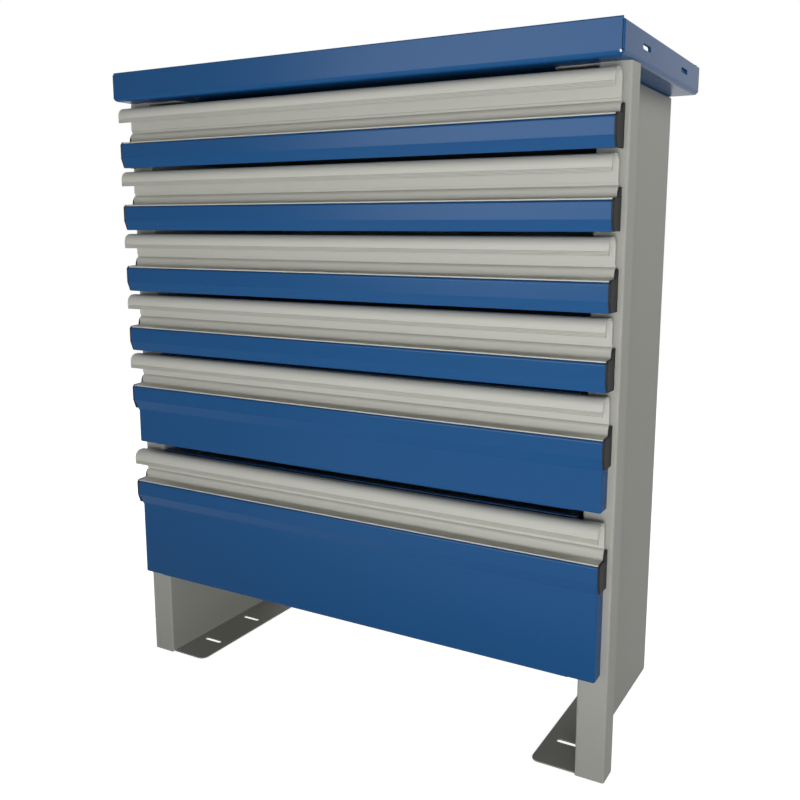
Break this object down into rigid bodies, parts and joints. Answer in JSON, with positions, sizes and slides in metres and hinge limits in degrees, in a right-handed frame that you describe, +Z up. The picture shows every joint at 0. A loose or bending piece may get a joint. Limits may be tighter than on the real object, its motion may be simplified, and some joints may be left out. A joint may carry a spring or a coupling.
{
  "type": "drawer unit",
  "caption": "Steel workshop drawer unit with light grey side frames, blue drawer fronts, full-width hook handles with black end caps, and a shallow blue top tray.",
  "frame": {"origin": "on the floor, in the middle of the unit's overall width and depth", "axes": "+X along the fronts to the right as seen from the front, +Y from the fronts to the back, +Z up"},
  "size_m": [0.627, 0.2954, 0.7487],
  "materials": {
    "grey_paint": "satin light grey powder coat",
    "blue_paint": "satin blue powder coat",
    "grip_paint": "satin light grey coating on the handle extrusions",
    "black_plastic": "matt black moulded plastic",
    "zinc": "bright zinc plate"
  },
  "bodies": {
    "cabinet": {"side_frame_left": "grey_paint", "side_frame_right": "grey_paint", "top_tray": "blue_paint", "back_panel": "grey_paint", "back_rivets": "zinc", "cover_screws": "zinc", "cover_nuts": "zinc", "slide_1_fixed_member": "zinc", "slide_2_fixed_member": "zinc", "slide_3_fixed_member": "zinc", "slide_4_fixed_member": "zinc", "slide_5_fixed_member": "zinc", "slide_6_fixed_member": "zinc"},
    "drawer_1": {"drawer_1_tray": "grey_paint", "drawer_1_front": "blue_paint", "drawer_1_handle": "grip_paint", "drawer_1_end_cap_left": "black_plastic", "drawer_1_end_cap_right": "black_plastic", "slide_1_drawer_member": "zinc"},
    "slide_1_middle": {"slide_1_middle_member": "zinc"},
    "drawer_2": {"drawer_2_tray": "grey_paint", "drawer_2_front": "blue_paint", "drawer_2_handle": "grip_paint", "drawer_2_end_cap_left": "black_plastic", "drawer_2_end_cap_right": "black_plastic", "slide_2_drawer_member": "zinc"},
    "slide_2_middle": {"slide_2_middle_member": "zinc"},
    "drawer_3": {"drawer_3_tray": "grey_paint", "drawer_3_front": "blue_paint", "drawer_3_handle": "grip_paint", "drawer_3_end_cap_left": "black_plastic", "drawer_3_end_cap_right": "black_plastic", "slide_3_drawer_member": "zinc"},
    "slide_3_middle": {"slide_3_middle_member": "zinc"},
    "drawer_4": {"drawer_4_tray": "grey_paint", "drawer_4_front": "blue_paint", "drawer_4_handle": "grip_paint", "drawer_4_end_cap_left": "black_plastic", "drawer_4_end_cap_right": "black_plastic", "slide_4_drawer_member": "zinc"},
    "slide_4_middle": {"slide_4_middle_member": "zinc"},
    "drawer_5": {"drawer_5_tray": "grey_paint", "drawer_5_front": "blue_paint", "drawer_5_handle": "grip_paint", "drawer_5_end_cap_left": "black_plastic", "drawer_5_end_cap_right": "black_plastic", "slide_5_drawer_member": "zinc"},
    "slide_5_middle": {"slide_5_middle_member": "zinc"},
    "drawer_6": {"drawer_6_tray": "grey_paint", "drawer_6_front": "blue_paint", "drawer_6_handle": "grip_paint", "drawer_6_end_cap_left": "black_plastic", "drawer_6_end_cap_right": "black_plastic", "slide_6_drawer_member": "zinc"},
    "slide_6_middle": {"slide_6_middle_member": "zinc"}
  },
  "joints": [
    {"name": "drawer_1_slide", "type": "slide", "parent": "cabinet", "child": "drawer_1", "axis": [0, -1, 0], "range_m": [0, 0.25]},
    {"name": "slide_1_middle_slide", "type": "slide", "parent": "cabinet", "child": "slide_1_middle", "axis": [0, -1, 0], "range_m": [0, 0.125]},
    {"name": "drawer_2_slide", "type": "slide", "parent": "cabinet", "child": "drawer_2", "axis": [0, -1, 0], "range_m": [0, 0.25]},
    {"name": "slide_2_middle_slide", "type": "slide", "parent": "cabinet", "child": "slide_2_middle", "axis": [0, -1, 0], "range_m": [0, 0.125]},
    {"name": "drawer_3_slide", "type": "slide", "parent": "cabinet", "child": "drawer_3", "axis": [0, -1, 0], "range_m": [0, 0.25]},
    {"name": "slide_3_middle_slide", "type": "slide", "parent": "cabinet", "child": "slide_3_middle", "axis": [0, -1, 0], "range_m": [0, 0.125]},
    {"name": "drawer_4_slide", "type": "slide", "parent": "cabinet", "child": "drawer_4", "axis": [0, -1, 0], "range_m": [0, 0.25]},
    {"name": "slide_4_middle_slide", "type": "slide", "parent": "cabinet", "child": "slide_4_middle", "axis": [0, -1, 0], "range_m": [0, 0.125]},
    {"name": "drawer_5_slide", "type": "slide", "parent": "cabinet", "child": "drawer_5", "axis": [0, -1, 0], "range_m": [0, 0.25]},
    {"name": "slide_5_middle_slide", "type": "slide", "parent": "cabinet", "child": "slide_5_middle", "axis": [0, -1, 0], "range_m": [0, 0.125]},
    {"name": "drawer_6_slide", "type": "slide", "parent": "cabinet", "child": "drawer_6", "axis": [0, -1, 0], "range_m": [0, 0.25]},
    {"name": "slide_6_middle_slide", "type": "slide", "parent": "cabinet", "child": "slide_6_middle", "axis": [0, -1, 0], "range_m": [0, 0.125]}
  ],
  "couplings": [
    {"joint": "slide_1_middle_slide", "follows": "drawer_1_slide", "ratio": 0.5},
    {"joint": "slide_2_middle_slide", "follows": "drawer_2_slide", "ratio": 0.5},
    {"joint": "slide_3_middle_slide", "follows": "drawer_3_slide", "ratio": 0.5},
    {"joint": "slide_4_middle_slide", "follows": "drawer_4_slide", "ratio": 0.5},
    {"joint": "slide_5_middle_slide", "follows": "drawer_5_slide", "ratio": 0.5},
    {"joint": "slide_6_middle_slide", "follows": "drawer_6_slide", "ratio": 0.5}
  ]
}
